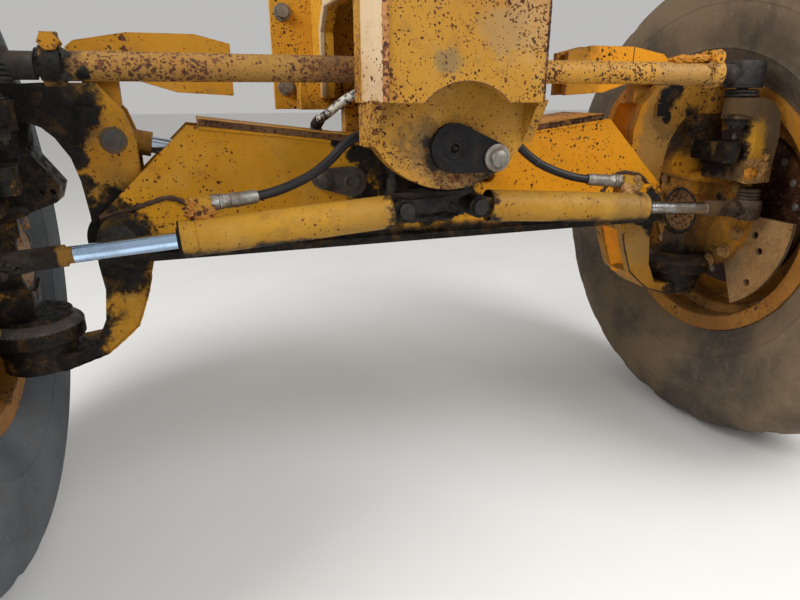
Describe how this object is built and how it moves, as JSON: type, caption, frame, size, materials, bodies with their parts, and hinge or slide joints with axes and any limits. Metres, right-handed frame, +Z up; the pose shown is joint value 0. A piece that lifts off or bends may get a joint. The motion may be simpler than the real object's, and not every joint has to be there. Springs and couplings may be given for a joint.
{
  "type": "motor grader front axle with leaning steered wheels",
  "caption": "Front axle of a motor grader: box beam on a pivot in the frame nose, leaning yokes, steered spindles, cylinders, tie rod, lean bar, hoses and wheels.",
  "frame": {"origin": "middle of the bolt pattern on the frame nose's rear face, where the main frame joins", "axes": "+X to the right seen from in front of the machine as the picture shows it, +Y to the machine's rear, out of the rear face, +Z up"},
  "size_m": [2.292, 1.2598, 1.27],
  "materials": {
    "yellow_paint": "worn, rust specks",
    "greasy_yellow_paint": "worn, greasy round the joints",
    "pin_steel": "dull",
    "dark_steel": "dull dark grey",
    "grease_black": "greasy",
    "chrome_rod": "polished",
    "black_rubber": "matt",
    "rust_red_paint": "rusty",
    "orange_rim": "rusty at the edges",
    "tyre_rubber": "dusty"
  },
  "bodies": {
    "frame": {"nose_box": "yellow_paint", "pivot_pin": "pin_steel", "pivot_retainer": "dark_steel"},
    "axle": {"axle_beam": "yellow_paint", "cylinder_anchor": "grease_black", "lean_pin_left": "pin_steel", "lean_pin_right": "pin_steel", "lean_base_pin": "dark_steel", "hose_lean": "black_rubber"},
    "yoke_l": {"yoke_left": "greasy_yellow_paint", "kingpins_left": "pin_steel", "bar_pin_left": "pin_steel"},
    "yoke_r": {"yoke_right": "greasy_yellow_paint", "kingpins_right": "pin_steel", "bar_pin_right": "pin_steel"},
    "bar": {"lean_bar": "yellow_paint"},
    "lean_cylinder": {"lean_barrel": "yellow_paint"},
    "lean_cylinder_rod": {"lean_rod": "chrome_rod"},
    "spindle_l": {"spindle_left": "greasy_yellow_paint", "steering_arm_left": "greasy_yellow_paint"},
    "spindle_r": {"spindle_right": "greasy_yellow_paint", "steering_arm_right": "greasy_yellow_paint"},
    "steer_cylinder_l": {"steer_barrel_left": "yellow_paint", "hose_left": "black_rubber"},
    "steer_cylinder_r": {"steer_barrel_right": "yellow_paint", "hose_right": "black_rubber"},
    "steer_cylinder_rod_l": {"steer_rod_left": "chrome_rod"},
    "steer_cylinder_rod_r": {"steer_rod_right": "chrome_rod"},
    "boot_l": {"tie_boot_left": "black_rubber"},
    "tie_rod": {"tie_rod_tube": "yellow_paint", "tie_rod_end_left": "grease_black", "tie_rod_end_right": "grease_black"},
    "wheel_l": {"hub_left": "rust_red_paint", "rim_left": "orange_rim", "tyre_left": "tyre_rubber"},
    "wheel_r": {"hub_right": "rust_red_paint", "rim_right": "orange_rim", "tyre_right": "tyre_rubber"}
  },
  "joints": [
    {"name": "axle_oscillation", "type": "hinge", "parent": "frame", "child": "axle", "pos_m": [0, -0.19, -0.186], "axis": [0, 1, 0], "range_deg": [-15, 15]},
    {"name": "wheel_lean", "type": "hinge", "parent": "axle", "child": "yoke_l", "pos_m": [-0.6, -0.19, -0.35], "axis": [0, 1, 0], "range_deg": [-18, 18]},
    {"name": "steer", "type": "hinge", "parent": "yoke_l", "child": "spindle_l", "pos_m": [-0.785, -0.19, -0.39], "axis": [0, 0, 1], "range_deg": [-40, 40]},
    {"name": "wheel_spin_left", "type": "hinge", "parent": "spindle_l", "child": "wheel_l", "pos_m": [-0.98, -0.19, -0.39], "axis": [1, 0, 0], "continuous": true},
    {"name": "wheel_spin_right", "type": "hinge", "parent": "spindle_r", "child": "wheel_r", "pos_m": [0.98, -0.19, -0.39], "axis": [1, 0, 0], "continuous": true},
    {"name": "lean_right", "type": "hinge", "parent": "axle", "child": "yoke_r", "pos_m": [0.6, -0.19, -0.35], "axis": [0, 1, 0], "range_deg": [-18, 18]},
    {"name": "lean_bar_turn", "type": "hinge", "parent": "yoke_l", "child": "bar", "pos_m": [-0.6, -0.19, -0.042], "axis": [0, 1, 0], "range_deg": [-18, 18]},
    {"name": "lean_cylinder_turn", "type": "hinge", "parent": "axle", "child": "lean_cylinder", "pos_m": [-0.154, -0.19, -0.26], "axis": [0, 1, 0], "range_deg": [-0.97, 0.97]},
    {"name": "lean_rod_slide", "type": "slide", "parent": "lean_cylinder", "child": "lean_cylinder_rod", "axis": [-0.9796, 0, 0.2009], "range_m": [-0.05499, 0.05499]},
    {"name": "steer_right", "type": "hinge", "parent": "yoke_r", "child": "spindle_r", "pos_m": [0.785, -0.19, -0.39], "axis": [0, 0, 1], "range_deg": [-40, 40]},
    {"name": "steer_cylinder_turn_left", "type": "hinge", "parent": "axle", "child": "steer_cylinder_l", "pos_m": [-0.078, -0.375, -0.305], "axis": [0, 1, 0], "range_deg": [-4.92, 4.92]},
    {"name": "steer_cylinder_turn_right", "type": "hinge", "parent": "axle", "child": "steer_cylinder_r", "pos_m": [0.078, -0.375, -0.305], "axis": [0, 1, 0], "range_deg": [-4.92, 4.92]},
    {"name": "steer_rod_slide_left", "type": "slide", "parent": "steer_cylinder_l", "child": "steer_cylinder_rod_l", "axis": [-0.9976, 0, -0.0691], "range_m": [-0.11891, 0.11891]},
    {"name": "steer_rod_slide_right", "type": "slide", "parent": "steer_cylinder_r", "child": "steer_cylinder_rod_r", "axis": [0.9976, 0, -0.0691], "range_m": [-0.11891, 0.11891]},
    {"name": "tie_rod_swivel", "type": "hinge", "parent": "spindle_l", "child": "boot_l", "pos_m": [-0.745, -0.355, -0.05], "axis": [0, 0, 1], "range_deg": [-41.98, 41.98]},
    {"name": "tie_rod_level", "type": "hinge", "parent": "boot_l", "child": "tie_rod", "pos_m": [-0.745, -0.355, -0.05], "axis": [0, 1, 0], "range_deg": [-14.56, 14.56]}
  ],
  "couplings": [
    {"joint": "lean_right", "follows": "wheel_lean", "ratio": 1},
    {"joint": "lean_bar_turn", "follows": "wheel_lean", "ratio": -1},
    {"joint": "lean_cylinder_turn", "follows": "wheel_lean", "ratio": 0.054},
    {"joint": "lean_rod_slide", "follows": "wheel_lean", "m_per_rad": -0.175},
    {"joint": "steer_right", "follows": "steer", "ratio": 1},
    {"joint": "steer_cylinder_turn_left", "follows": "wheel_lean", "ratio": 0.273},
    {"joint": "steer_cylinder_turn_right", "follows": "wheel_lean", "ratio": 0.273},
    {"joint": "steer_rod_slide_left", "follows": "steer", "m_per_rad": -0.1703},
    {"joint": "steer_rod_slide_right", "follows": "steer", "m_per_rad": 0.1703},
    {"joint": "tie_rod_swivel", "follows": "steer", "ratio": -1.0494},
    {"joint": "tie_rod_level", "follows": "wheel_lean", "ratio": -0.8086}
  ]
}
